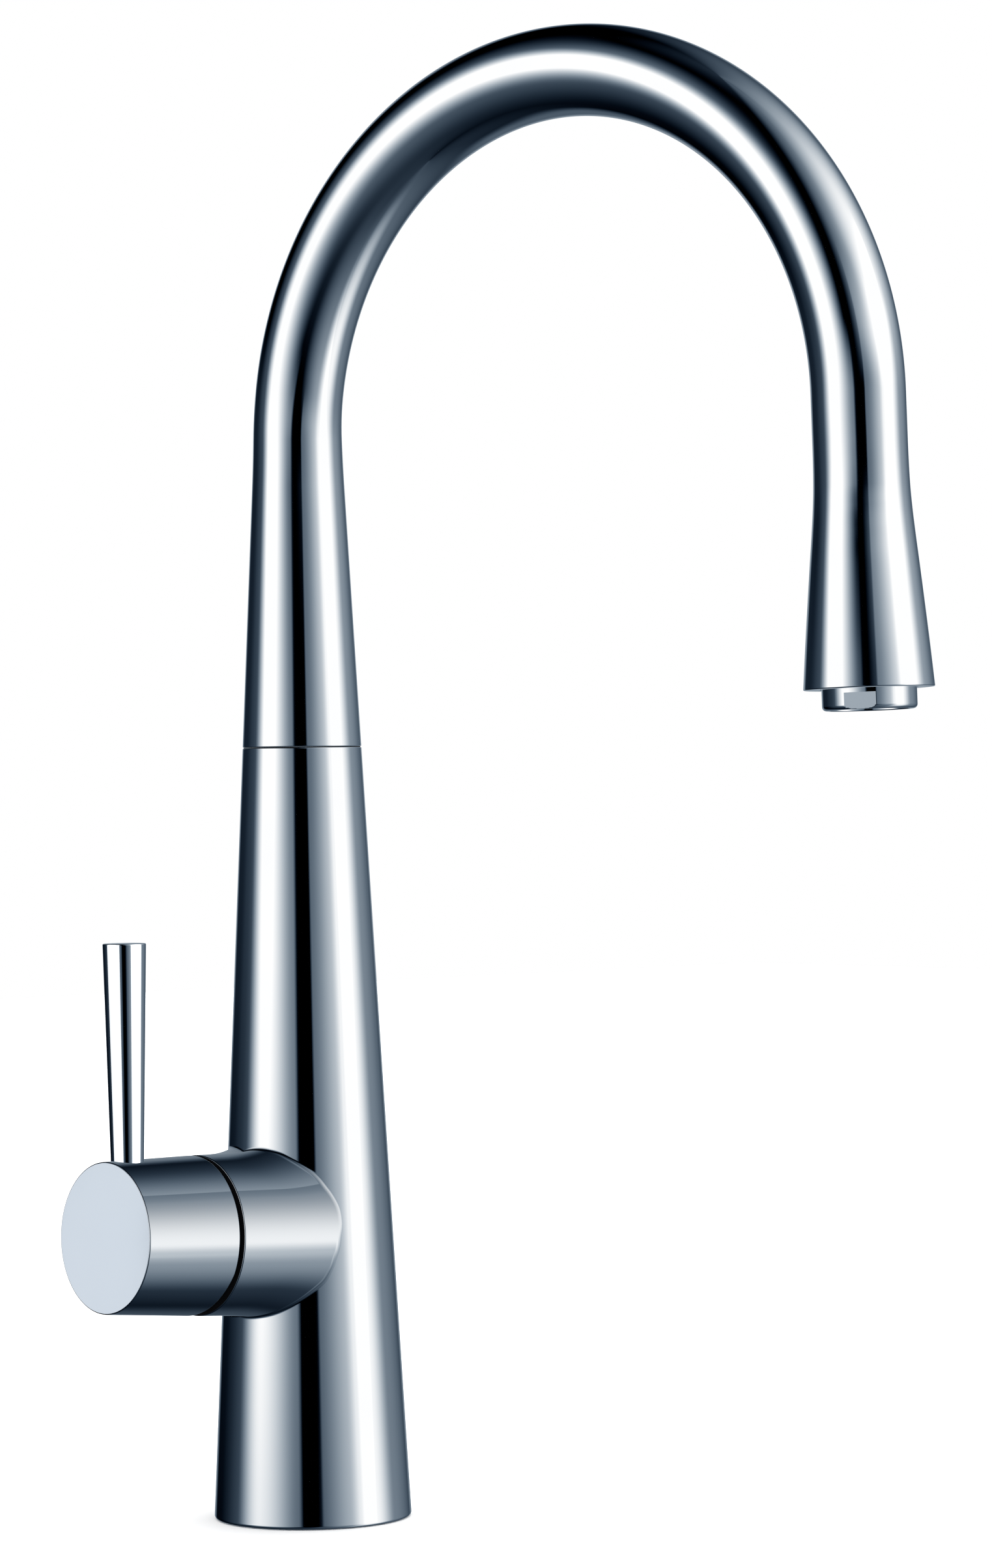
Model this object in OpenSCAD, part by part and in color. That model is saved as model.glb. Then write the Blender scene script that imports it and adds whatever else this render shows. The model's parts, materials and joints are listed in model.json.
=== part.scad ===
// Kitchen mixer tap with a high round spout, a side lever and a slim spray head
// that pulls down out of the flared spout mouth.
// +Z is up and z = 0 is the deck that the base stands on. The sink is towards -Y
// and the lever is on the -X side.

/* [Body and base] */
// Outer diameter of the body where it stands on the deck
base_d = 58.5; // [56:0.5:62]
// Outer diameter of the spout tube
tube_d = 26; // [25.5:0.1:26.5]
// Height of the centre of the spout's arch, where the body's taper ends
spring_h = 319; // [300:1:340]
// Height of the seam between the fixed body and the swivelling spout
seam_h = 228; // [224:1:232]

/* [Spout] */
// Distance across the arch, from the body axis to the leg
reach = 200; // [160:1:230]
// Outward lean of the spout's leg, in degrees
leg_lean = 1.55; // [0:0.05:3]
// Length of the leg from the arch to the mouth
leg_len = 80.6; // [78:0.1:90]
// Height of the flare above the mouth
flare_h = 56.9; // [54:0.1:62]
// Outer diameter of the flared mouth
mouth_d = 36; // [35:0.5:40]
// Angle that the spout stands turned from square to the sink, in degrees
spout_turn = 11.66; // [0:0.01:20]
// Angle that the spout can swing to each side of square, in degrees
swing_half = 60; // [40:1:65]

/* [Handle] */
// Height above the deck at which the handle's axis leaves the body axis
handle_h = 84.2; // [83:0.1:87]
// Upward tilt of the handle's axis and half the cone angle of the barrel, in degrees
handle_tilt = 2.6; // [1:0.1:3]
// Outer diameter of the barrel at its flat end
barrel_d = 43.8; // [43:0.1:45]
// Outer diameter of the boss where it starts inside the body
boss_root_d = 48.8; // [48:0.1:49]
// Distance of the boss's face from the body axis
boss_face = 41.75; // [41.5:0.05:42]
// Gap between the boss and the barrel
handle_gap = 1.75; // [1.7:0.05:2.2]
// Length of the barrel
barrel_len = 31.1; // [31:0.1:34]
// Angle that the lever lifts outwards when it opens, in degrees
lift_angle = 8; // [4:0.5:8]
// Length of the tapered lever above the barrel
lever_len = 62.6; // [50:0.1:80]
// Diameter of the lever where it leaves the barrel
lever_root_d = 9.5; // [8:0.1:10]
// Diameter of the lever at its flat top
lever_top_d = 12.6; // [10:0.1:14]

/* [Pull-down head] */
// Outer diameter of the collar that shows below the mouth
collar_d = 26; // [24:0.1:26.2]
// How far the collar stands out of the mouth
collar_drop = 5.8; // [5.2:0.1:8]
// Outer diameter of the head that slides inside the mouth
head_d = 22; // [21:0.1:22.2]
// Outer diameter of the spray hose
hose_d = 11.5; // [10:0.1:12]

/* [Deck fixing] */
// Outer diameter of the threaded shank
shank_d = 34; // [33.5:0.1:34]
// Length of the shank below the deck
shank_len = 70; // [66:1:90]
// Thickness of the deck that the nut is set for
deck_t = 30; // [10:1:34]

/* [Hidden] */
$fn = 96;
// overshoot of a cutting tool beyond the face it cuts
cut = 1;

// body
base_r = base_d / 2;
tube_r = tube_d / 2;
body_wall = 3;
foot_h = 14;
port_plate_h = 24;
core_r = 16;
core_top = 100;
seam_gap = 0.3;
// ports in the body's underside, at the same distance from its axis
port_r = 3.46;
channel_r = 3;
port_offset = 11.4;
port_side = 8.1;
port_back = sqrt(port_offset ^ 2 - port_side ^ 2);
hose_hole_r = 7;
gasket_in_r = 20;
gasket_out_r = 25;
gasket_t = 2.5;

// swivel
bush_bottom = 191.5;
bush_top = seam_h - 2;
bush_out_r = 14.6;
spigot_r = 12.5;
spigot_bore_r = 8.8;
spigot_bottom = 187.5;
spigot_head_r = 14;
spigot_head_top = seam_h + 18;
running_gap = 0.05;
washer_out_r = 15.8;
washer_in_r = spigot_r + 0.2;
washer_top = seam_h + seam_gap / 2;
snap_z = bush_bottom - 2;
snap_t = 1.4;
snap_in_r = 11.6;
snap_out_r = 14.2;
snap_gap_angle = 30;
// play of the ring between the sides of its groove
snap_play = 0.1;
stop_z = 205;
stop_tip_r = 1.5;
stop_thread_r = 2;
stop_tip_y = 11.4;
stop_sink = 0.6;
stop_socket_r = 1.15;
stop_socket_depth = 1.8;
groove_floor_r = 11;
groove_half_h = 2;
// half the angle that the stop's tip and its side clearance take in the groove
stop_half_angle = 9;

// cartridge, measured outwards along the handle's axis from the body axis
barrel_r = barrel_d / 2;
seat_s = 15;
inlet_hole_r = 3;
outlet_drop = 8;
seal_t = 1.2;
seal_in_r = 3.4;
seal_out_r = 4.6;
fixed_disc_s = 18.5;
disc_t = 3;
disc_gap = 0.1;
disc_r = 12.5;
fixed_disc_r = 15.4;
// the hollow under the moving disc that joins the water ways
mix_hollow_r = disc_r - 1.5;
mix_hollow_x = -inlet_hole_r - 0.2;
moving_disc_s = fixed_disc_s + disc_t + disc_gap;
carrier_s = moving_disc_s + disc_t;
carrier_t = 4;
carrier_half_w = 9;
carrier_top = carrier_s + carrier_t;
// gap that keeps neighbouring moving parts apart
part_gap = 0.3;
rotor_s = carrier_top + part_gap;
rotor_flange_r = 15.2;
rotor_flange_t = 3.1;
rotor_neck_r = 11.8;
rotor_end_s = boss_face + 0.7;
rail_w = 2.2;
rail_len = 16;
rail_gap = 0.2;
rotor_slot_len = 10.4;
housing_r = 17.5;
housing_in_r = 15.5;
housing_end_s = 37;
housing_lip_s = rotor_s + rotor_flange_t + part_gap;
housing_hole_r = rotor_neck_r + 0.08;
nut_r = 19.5;
nut_start_s = 33;
nut_hole_r = 13.2;
nut_end_s = boss_face - part_gap;
nut_slot_w = 3;
nut_slot_depth = 1.5;
seat_bore_r = housing_r + 0.1;
pivot_s = 36;
ball_s = carrier_top - 1.3;
ball_r = 2.4;
ball_socket_r = ball_r + 0.08;
ball_socket_floor = 0.2;
stem_neck_r = 1.9;
stem_block_s = 31;
stem_end_s = 58;
stem_w = 8;
stem_t = 6;
pivot_r = 1.5;
pivot_hole_r = pivot_r + 0.06;
pivot_half_len = 11.3;

// handle
barrel_s = boss_face + handle_gap;
barrel_end_s = barrel_s + barrel_len;
barrel_wall = 2.7;
barrel_end_t = 3;
hub_r = 9;
hub_s = barrel_s + 3.5;
// the upright lever starts from the axis here and leaves the barrel at this height
lever_s = 66.2;
lever_exit = barrel_r * cos(handle_tilt) + (barrel_end_s - lever_s) * sin(handle_tilt);
lever_seat = lever_exit - 1.9;
lever_tail_r = 3;
lever_tail_start = 10;
lever_boss_r = 6.5;
lever_boss_top = lever_exit - 1.2;
set_screw_s = 52;
set_screw_r = 2.5;
set_screw_end = 8.5;
set_socket_r = 1.4;
set_socket_depth = 2.5;
plug_r = 3;
plug_sink = 0.3;
// clearance that the tilted barrel keeps from the boss's face
tilt_clear = 0.3;

// spout
arch_r = reach / 2;
// how much the radius of the tube and of the hose draws in round the arch
bend_thinning = 0.05;
tube_bore_r = tube_r - 1.5;
// how much narrower the body's bore is than the swivel's head
bore_step = 0.5;
mouth_r = mouth_d / 2;
dock_bore_r = collar_d / 2 + 0.4;
dock_depth = 35;
sleeve_bottom = 2.3;
sleeve_bore_r = head_d / 2 + 0.3;
guide_h = 6;
guide_bore_r = hose_d / 2 + 0.4;

// pull-down head, measured up from the mouth along the leg
head_r = head_d / 2;
collar_r = collar_d / 2;
collar_top = 2;
collar_edge = 1.2;
flat_half_w = 4.5;
flat_top = -1.2;
// angle that the collar's two flats are turned from the leg's sides
flat_turn = 21;
head_neck_r = 9.8;
head_neck_top = 9;
head_bore_r = 8;
head_cap_s = 38;
head_top = 44;
head_chamfer = 1;
valve_bottom = 24;
valve_top = 36;
valve_floor = 29.5;
valve_r = head_bore_r - 0.1;
valve_bore_r = 4;
valve_outlet_r = 2.5;
insert_r = 10.9;
insert_bottom = -4.6;
insert_top = 0.2;
ledge_z = 1;
jet_r = 0.8;
jet_pitch = 2.6;
hose_nut_flat = 17;
hose_nut_r = 5.5;
hose_nut_top = 50;
ferrule_top = 56;
ferrule_r = 6.9;
hose_r = hose_d / 2;
hose_bore_r = 3.5;
hose_bottom = -90;
tail_r = 7;
tail_thread_r = 5;
tail_len = 20;

// deck fixing
shank_r = shank_d / 2;
shank_bore_r = 15.4;
deck_gasket_t = 2;
deck_washer_t = 2;
nut_t = 12;
nut_flange_r = 26;
nut_top_z = -deck_t - deck_gasket_t - deck_washer_t;
nut_bottom_z = nut_top_z - nut_t;
deck_gasket_r = 28;
deck_washer_r = 27;
deck_hole_r = shank_r + 0.2;
jack_offset = 21.5;
jack_r = 2.5;
jack_head_r = 4.2;
jack_head_t = 4;
jack_slot_w = 1;
jack_slot_depth = 1.2;

// outer radius of the tapered body at a height
function body_r(z) = base_r + (tube_r - base_r) * z / spring_h;

// outer radius of the tapered barrel at a distance along the handle's axis
function barrel_r_at(s) = barrel_r + (barrel_end_s - s) * tan(handle_tilt);

// puts its children on the handle's axis, with +Z outwards and +X up
module on_handle_axis() {
    translate([0, 0, handle_h])
        rotate([0, handle_tilt - 90, 0])
            children();
}

// puts its children on the lever's axis, upright from the handle's axis
module on_lever_axis() {
    on_handle_axis()
        translate([0, 0, lever_s])
            rotate([0, 90 - handle_tilt, 0])
                children();
}

// turns its children with the spout, whose arch lies over -Y before the turn
module in_spout() {
    rotate([0, 0, spout_turn])
        children();
}

// puts its children at the centre of the mouth, with +Z up along the leg
module at_mouth() {
    in_spout()
        translate([0, -arch_r - arch_r * cos(leg_lean), spring_h + arch_r * sin(leg_lean)])
            rotate([-leg_lean, 0, 0])
                translate([0, 0, -leg_len])
                    children();
}

// a round bar bent along the spout's arch
module arch_bar(r) {
    in_spout()
        translate([0, -arch_r, spring_h])
            rotate([90, 0, 90])
                rotate_extrude(angle = 180 - leg_lean)
                    translate([arch_r, 0])
                        circle(r);
}

// a ring or tube standing on z = z0
module tube(out_r, in_r, z0, z1) {
    difference() {
        translate([0, 0, z0])
            cylinder(h = z1 - z0, r = out_r);
        translate([0, 0, z0 - cut])
            cylinder(h = z1 - z0 + 2 * cut, r = in_r);
    }
}

// a round bar from z0 to z1
module bar(r, z0, z1) {
    translate([0, 0, z0])
        cylinder(h = z1 - z0, r = r);
}

// ---- fixed body ----

module body_cavity() {
    difference() {
        translate([0, 0, port_plate_h])
            cylinder(
                h = bush_bottom - port_plate_h,
                r1 = body_r(port_plate_h) - body_wall,
                r2 = body_r(bush_bottom) - body_wall
            );
        bar(core_r, port_plate_h - cut, core_top);
    }
}

module water_channels() {
    for (side = [-1, 1]) {
        translate([-port_back, side * port_side, 0]) {
            bar(port_r, foot_h - cut, port_plate_h);
            bar(channel_r, port_plate_h - cut, handle_h);
        }
        on_handle_axis()
            translate([0, side * port_side, 0])
                bar(channel_r, port_back, seat_s + cut);
    }
    translate([-port_offset, 0, 0]) {
        bar(port_r, foot_h - cut, port_plate_h);
        bar(channel_r, port_plate_h - cut, handle_h - outlet_drop);
    }
    on_handle_axis()
        translate([-outlet_drop, 0, 0])
            bar(channel_r, port_offset, seat_s + cut);
}

module base_body() {
    color("gainsboro")
        difference() {
            union() {
                difference() {
                    cylinder(h = seam_h, r1 = base_r, r2 = body_r(seam_h));
                    body_cavity();
                }
                on_handle_axis()
                    cylinder(h = boss_face, r1 = boss_root_d / 2, r2 = barrel_r_at(boss_face));
            }
            water_channels();
            on_handle_axis() {
                bar(seat_bore_r, seat_s, boss_face + cut);
                bar(nut_r, nut_start_s, boss_face + cut);
            }
            bar(shank_r, -cut, foot_h);
            bar(hose_hole_r, foot_h - cut, handle_h + boss_root_d / 2 + cut);
            bar(bush_out_r, bush_bottom - cut, bush_top);
            bar(washer_out_r, bush_top, seam_h + cut);
            tube(gasket_out_r, gasket_in_r, -cut, gasket_t);
            translate([0, spigot_r, stop_z])
                rotate([-90, 0, 0])
                    cylinder(h = base_r, r = stop_thread_r);
        }
}

module base_gasket() {
    color("dimgray")
        tube(gasket_out_r, gasket_in_r, 0, gasket_t);
}

module mounting_shank() {
    color("peru")
        tube(shank_r, shank_bore_r, -shank_len, foot_h);
}

module deck_gasket() {
    color("dimgray")
        tube(deck_gasket_r, deck_hole_r, -deck_t - deck_gasket_t, -deck_t);
}

module deck_washer() {
    color("silver")
        tube(deck_washer_r, deck_hole_r, nut_top_z, -deck_t - deck_gasket_t);
}

module mounting_nut() {
    color("peru")
        difference() {
            union() {
                bar(nut_flange_r, nut_top_z - nut_t / 2, nut_top_z);
                translate([0, 0, nut_bottom_z])
                    cylinder(h = nut_t, r = nut_flange_r, $fn = 6);
            }
            bar(shank_r, nut_bottom_z - cut, nut_top_z + cut);
            for (side = [-1, 1])
                translate([0, side * jack_offset, 0])
                    bar(jack_r, nut_bottom_z - cut, nut_top_z + cut);
        }
}

module jack_screws() {
    color("silver")
        for (side = [-1, 1])
            translate([0, side * jack_offset, 0]) {
                bar(jack_r, nut_bottom_z - cut, nut_top_z);
                difference() {
                    bar(jack_head_r, nut_bottom_z - jack_head_t, nut_bottom_z);
                    translate([-jack_head_r - cut, -jack_slot_w / 2, nut_bottom_z - jack_head_t - cut])
                        cube([2 * (jack_head_r + cut), jack_slot_w, cut + jack_slot_depth]);
                }
            }
}

module glide_bush() {
    color("ivory")
        difference() {
            tube(bush_out_r, spigot_r + running_gap, bush_bottom, bush_top);
            translate([0, spigot_r - cut, stop_z])
                rotate([-90, 0, 0])
                    cylinder(h = bush_out_r, r = stop_tip_r);
        }
}

module thrust_washer() {
    color("dimgray")
        tube(washer_out_r, washer_in_r, bush_top, washer_top);
}

module stop_screw() {
    stop_end_y = body_r(stop_z) - stop_sink;
    color("silver")
        translate([0, 0, stop_z])
            rotate([-90, 0, 0])
                difference() {
                    union() {
                        bar(stop_tip_r, stop_tip_y, bush_out_r);
                        bar(stop_thread_r, bush_out_r + running_gap, stop_end_y);
                        bar(stop_tip_r, bush_out_r - running_gap, bush_out_r + 2 * running_gap);
                    }
                    translate([0, 0, stop_end_y - stop_socket_depth])
                        cylinder(h = stop_socket_depth + cut, r = stop_socket_r, $fn = 6);
                }
}

// ---- cartridge ----

// the three water ways of the cartridge, at their places on its seat
module at_ports() {
    for (place = [[0, port_side], [0, -port_side], [-outlet_drop, 0]])
        translate([place[0], place[1], 0])
            children();
}

module cartridge_seals() {
    color("dimgray")
        on_handle_axis()
            at_ports()
                tube(seal_out_r, seal_in_r, seat_s, seat_s + seal_t);
}

module cartridge_base() {
    color("whitesmoke")
        on_handle_axis()
            difference() {
                bar(housing_in_r, seat_s + seal_t, fixed_disc_s);
                at_ports()
                    bar(inlet_hole_r, seat_s, fixed_disc_s + cut);
            }
}

module cartridge_housing() {
    color("whitesmoke")
        on_handle_axis()
            difference() {
                bar(housing_r, seat_s + seal_t, housing_end_s);
                bar(housing_in_r, seat_s, housing_lip_s);
                bar(housing_hole_r, housing_lip_s - cut, housing_end_s + cut);
            }
}

module fixed_disc() {
    color("white")
        on_handle_axis()
            difference() {
                bar(fixed_disc_r, fixed_disc_s, fixed_disc_s + disc_t);
                at_ports()
                    bar(inlet_hole_r, fixed_disc_s - cut, fixed_disc_s + disc_t + cut);
            }
}

module cartridge_nut() {
    color("peru")
        on_handle_axis()
            difference() {
                bar(nut_r, housing_end_s, nut_end_s);
                bar(nut_hole_r, housing_end_s - cut, nut_end_s + cut);
                for (turn = [0 : 90 : 270])
                    rotate([0, 0, turn])
                        translate([nut_r - nut_slot_w, -nut_slot_w / 2, nut_end_s - nut_slot_depth])
                            cube([nut_slot_w + cut, nut_slot_w, nut_slot_depth + cut]);
            }
}

module cartridge_rotor() {
    rail_y = carrier_half_w + rail_gap + rail_w / 2;
    slot_w = stem_w + 2 * part_gap;
    color("lightgray")
        on_handle_axis()
            difference() {
                union() {
                    bar(rotor_flange_r, rotor_s, rotor_s + rotor_flange_t);
                    bar(rotor_neck_r, rotor_s + rotor_flange_t - cut, rotor_end_s);
                    for (side = [-1, 1])
                        translate([-rail_len / 2, side * rail_y - rail_w / 2, carrier_s + part_gap])
                            cube([rail_len, rail_w, rotor_s - carrier_s + cut]);
                }
                translate([-rotor_slot_len / 2, -slot_w / 2, carrier_s])
                    cube([rotor_slot_len, slot_w, rotor_end_s]);
                translate([0, 0, pivot_s])
                    rotate([90, 0, 0])
                        translate([0, 0, -pivot_half_len])
                            cylinder(h = 2 * pivot_half_len, r = pivot_r);
            }
}

module stem_pin() {
    color("silver")
        on_handle_axis()
            translate([0, 0, pivot_s])
                rotate([90, 0, 0])
                    translate([0, 0, -pivot_half_len])
                        cylinder(h = 2 * pivot_half_len, r = pivot_r);
}

module moving_disc() {
    color("white")
        on_handle_axis()
            difference() {
                bar(disc_r, moving_disc_s, moving_disc_s + disc_t);
                intersection() {
                    bar(mix_hollow_r, moving_disc_s - cut, moving_disc_s + disc_t / 2);
                    translate([mix_hollow_x - disc_r, -disc_r, moving_disc_s - cut])
                        cube([disc_r, 2 * disc_r, disc_t]);
                }
            }
}

module disc_carrier() {
    color("slategray")
        on_handle_axis()
            difference() {
                intersection() {
                    bar(disc_r, carrier_s, carrier_top);
                    translate([-disc_r, -carrier_half_w, carrier_s])
                        cube([2 * disc_r, 2 * carrier_half_w, carrier_t]);
                }
                bar(ball_socket_r, carrier_s + ball_socket_floor, carrier_top + cut);
            }
}

// ---- handle ----

module lever_stem() {
    color("silver")
        on_handle_axis()
            difference() {
                union() {
                    translate([0, 0, ball_s])
                        sphere(r = ball_r);
                    bar(stem_neck_r, ball_s, stem_block_s + cut);
                    translate([-stem_t / 2, -stem_w / 2, stem_block_s])
                        cube([stem_t, stem_w, stem_end_s - stem_block_s]);
                }
                translate([0, 0, pivot_s])
                    rotate([90, 0, 0])
                        translate([0, 0, -stem_w])
                            cylinder(h = 2 * stem_w, r = pivot_hole_r);
            }
}

// the side of the barrel's rim that is cut back so that the barrel can tilt
module tilt_relief() {
    translate([0, 0, pivot_s])
        rotate([0, lift_angle, 0])
            translate([-2 * barrel_r, -2 * barrel_r, -2 * barrel_r])
                cube([4 * barrel_r, 4 * barrel_r, 2 * barrel_r + boss_face + tilt_clear - pivot_s]);
}

module handle_barrel() {
    color("gainsboro")
        difference() {
            union() {
                on_handle_axis() {
                    difference() {
                        translate([0, 0, barrel_s])
                            cylinder(h = barrel_len, r1 = barrel_r_at(barrel_s), r2 = barrel_r);
                        bar(barrel_r - barrel_wall, barrel_s - cut, barrel_end_s - barrel_end_t);
                    }
                    bar(hub_r, hub_s, barrel_end_s - cut);
                }
                on_lever_axis()
                    bar(lever_boss_r, 0, lever_boss_top);
            }
            on_handle_axis() {
                tilt_relief();
                translate([-stem_t / 2, -stem_w / 2, hub_s - cut])
                    cube([stem_t, stem_w, stem_end_s - hub_s + cut]);
                translate([0, 0, set_screw_s])
                    rotate([0, -90, 0]) {
                        bar(set_screw_r, stem_t / 2, barrel_r);
                        bar(plug_r, barrel_r - barrel_wall - cut, barrel_r_at(barrel_s) + cut);
                    }
            }
            on_lever_axis() {
                bar(lever_tail_r, lever_tail_start, barrel_r);
                bar(lever_root_d / 2, lever_seat, lever_exit + cut);
            }
        }
}

module lever_pin() {
    color("gainsboro")
        on_lever_axis() {
            bar(lever_tail_r, lever_tail_start, lever_seat);
            translate([0, 0, lever_seat])
                cylinder(
                    h = lever_exit + lever_len - lever_seat,
                    r1 = lever_root_d / 2,
                    r2 = lever_top_d / 2
                );
        }
}

module barrel_set_screw() {
    color("dimgray")
        on_handle_axis()
            translate([0, 0, set_screw_s])
                rotate([0, -90, 0])
                    difference() {
                        bar(set_screw_r, stem_t / 2, set_screw_end);
                        translate([0, 0, set_screw_end - set_socket_depth])
                            cylinder(h = set_socket_depth + cut, r = set_socket_r, $fn = 6);
                    }
}

module set_screw_plug() {
    color("gainsboro")
        on_handle_axis()
            translate([0, 0, set_screw_s])
                rotate([0, -90, 0])
                    bar(plug_r, barrel_r - barrel_wall + part_gap, barrel_r_at(set_screw_s) - plug_sink);
}

// ---- spout ----

module spout_tube() {
    foot_z = seam_h + seam_gap;
    color("gainsboro")
        difference() {
            union() {
                translate([0, 0, foot_z])
                    cylinder(h = spring_h - foot_z, r1 = body_r(foot_z), r2 = tube_r);
                arch_bar(tube_r - bend_thinning);
                at_mouth() {
                    bar(tube_r, flare_h, leg_len);
                    cylinder(h = flare_h, r1 = mouth_r, r2 = tube_r);
                }
            }
            bar(spigot_head_r, foot_z - cut, spigot_head_top);
            translate([0, 0, spigot_head_top])
                cylinder(
                    h = spring_h - spigot_head_top,
                    r1 = spigot_head_r - bore_step,
                    r2 = tube_bore_r
                );
            arch_bar(tube_bore_r - bend_thinning);
            at_mouth() {
                bar(tube_bore_r, dock_depth, leg_len);
                bar(dock_bore_r, -cut, dock_depth);
            }
        }
}

// an arc-shaped groove around the spigot for the stop screw's tip
module stop_groove() {
    start = 90 - (swing_half - spout_turn) - stop_half_angle;
    rotate([0, 0, start])
        rotate_extrude(angle = 2 * (swing_half + stop_half_angle))
            translate([groove_floor_r, stop_z - groove_half_h])
                square([spigot_r, 2 * groove_half_h]);
}

module swivel_spigot() {
    color("peru")
        difference() {
            union() {
                bar(spigot_r, spigot_bottom, seam_h + seam_gap);
                bar(spigot_head_r, seam_h + seam_gap, spigot_head_top);
            }
            bar(spigot_bore_r, spigot_bottom - cut, spigot_head_top + cut);
            stop_groove();
            tube(spigot_r + cut, snap_in_r, snap_z, snap_z + snap_t);
        }
}

module snap_ring() {
    color("silver")
        translate([0, 0, snap_z + snap_play])
            rotate([0, 0, -90 + snap_gap_angle / 2])
                rotate_extrude(angle = 360 - snap_gap_angle)
                    translate([snap_in_r, 0])
                        square([snap_out_r - snap_in_r, snap_t - 2 * snap_play]);
}

module hose_guide() {
    color("ivory")
        tube(spigot_bore_r, guide_bore_r, spigot_head_top - guide_h, spigot_head_top);
}

module dock_sleeve() {
    color("dimgray")
        at_mouth()
            tube(dock_bore_r, sleeve_bore_r, sleeve_bottom, dock_depth);
}

module spray_hose() {
    color("darkgray") {
        bar(hose_r, hose_bottom, spring_h);
        arch_bar(hose_r - bend_thinning);
    }
}

module hose_tail_fitting() {
    color("peru") {
        bar(tail_r, hose_bottom - tail_len / 2, hose_bottom);
        bar(tail_thread_r, hose_bottom - tail_len, hose_bottom - tail_len / 2);
    }
}

// ---- pull-down head ----

module hose_leg() {
    color("darkgray")
        at_mouth()
            bar(hose_r, ferrule_top, leg_len);
}

module handset_shell() {
    color("gainsboro")
        at_mouth()
            difference() {
                union() {
                    bar(head_r, collar_top, head_top - head_chamfer);
                    translate([0, 0, head_top - head_chamfer])
                        cylinder(h = head_chamfer, r1 = head_r, r2 = head_r - head_chamfer);
                }
                bar(head_neck_r, collar_top - cut, head_neck_top);
                bar(head_bore_r, head_neck_top - cut, head_cap_s);
                bar(hose_nut_r, head_cap_s - cut, head_top + cut);
            }
}

module aerator_housing() {
    flat_depth = collar_r - sqrt(collar_r ^ 2 - flat_half_w ^ 2);
    color("gainsboro")
        at_mouth()
            difference() {
                union() {
                    bar(collar_r, collar_edge - collar_drop, collar_top);
                    bar(collar_r - collar_edge, -collar_drop, collar_top);
                    translate([0, 0, collar_edge - collar_drop])
                        rotate_extrude()
                            translate([collar_r - collar_edge, 0])
                                circle(collar_edge);
                    bar(head_neck_r, collar_top - cut, head_neck_top);
                }
                bar(insert_r, -collar_drop - cut, ledge_z);
                bar(head_bore_r, -collar_drop, head_neck_top + cut);
                for (turn = [flat_turn, flat_turn + 180])
                    rotate([0, 0, turn])
                        translate([collar_r - flat_depth, -collar_r, -collar_drop - cut])
                            cube([collar_r, 2 * collar_r, collar_drop + cut + flat_top]);
            }
}

module aerator_insert() {
    color("lightgray")
        at_mouth()
            difference() {
                bar(insert_r, insert_bottom, insert_top);
                for (i = [-3 : 3], j = [-3 : 3]) {
                    x = (i + j / 2) * jet_pitch;
                    y = j * jet_pitch * sqrt(3) / 2;
                    if (norm([x, y]) < insert_r - 2)
                        translate([x, y, 0])
                            bar(jet_r, insert_bottom - cut, insert_top + cut);
                }
            }
}

module aerator_gasket() {
    color("dimgray")
        at_mouth()
            tube(insert_r, head_bore_r, insert_top, ledge_z);
}

module check_valve() {
    color("slategray")
        at_mouth()
            difference() {
                bar(valve_r, valve_bottom, valve_top);
                bar(valve_bore_r, valve_bottom - cut, valve_floor);
                bar(valve_outlet_r, valve_floor - cut, valve_top + cut);
            }
}

module hose_nut() {
    color("silver")
        at_mouth()
            difference() {
                union() {
                    translate([0, 0, head_top])
                        cylinder(h = hose_nut_top - head_top, d = hose_nut_flat / cos(30), $fn = 6);
                    bar(hose_nut_r, head_cap_s, head_top + cut);
                }
                bar(hose_bore_r, head_cap_s - cut, hose_nut_top + cut);
            }
}

module hose_ferrule() {
    color("silver")
        at_mouth()
            tube(ferrule_r, hose_bore_r, hose_nut_top, ferrule_top);
}

base_body();
base_gasket();
mounting_shank();
deck_gasket();
deck_washer();
mounting_nut();
jack_screws();
glide_bush();
thrust_washer();
stop_screw();
cartridge_seals();
cartridge_base();
cartridge_housing();
fixed_disc();
cartridge_nut();
cartridge_rotor();
stem_pin();
moving_disc();
disc_carrier();
lever_stem();
handle_barrel();
lever_pin();
barrel_set_screw();
set_screw_plug();
spout_tube();
swivel_spigot();
snap_ring();
hose_guide();
dock_sleeve();
spray_hose();
hose_tail_fitting();
hose_leg();
handset_shell();
aerator_housing();
aerator_insert();
aerator_gasket();
check_valve();
hose_nut();
hose_ferrule();
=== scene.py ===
import json
import math

import bmesh
import bpy
import numpy as np
from mathutils import Matrix, Vector
from mathutils.geometry import tessellate_polygon


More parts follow.
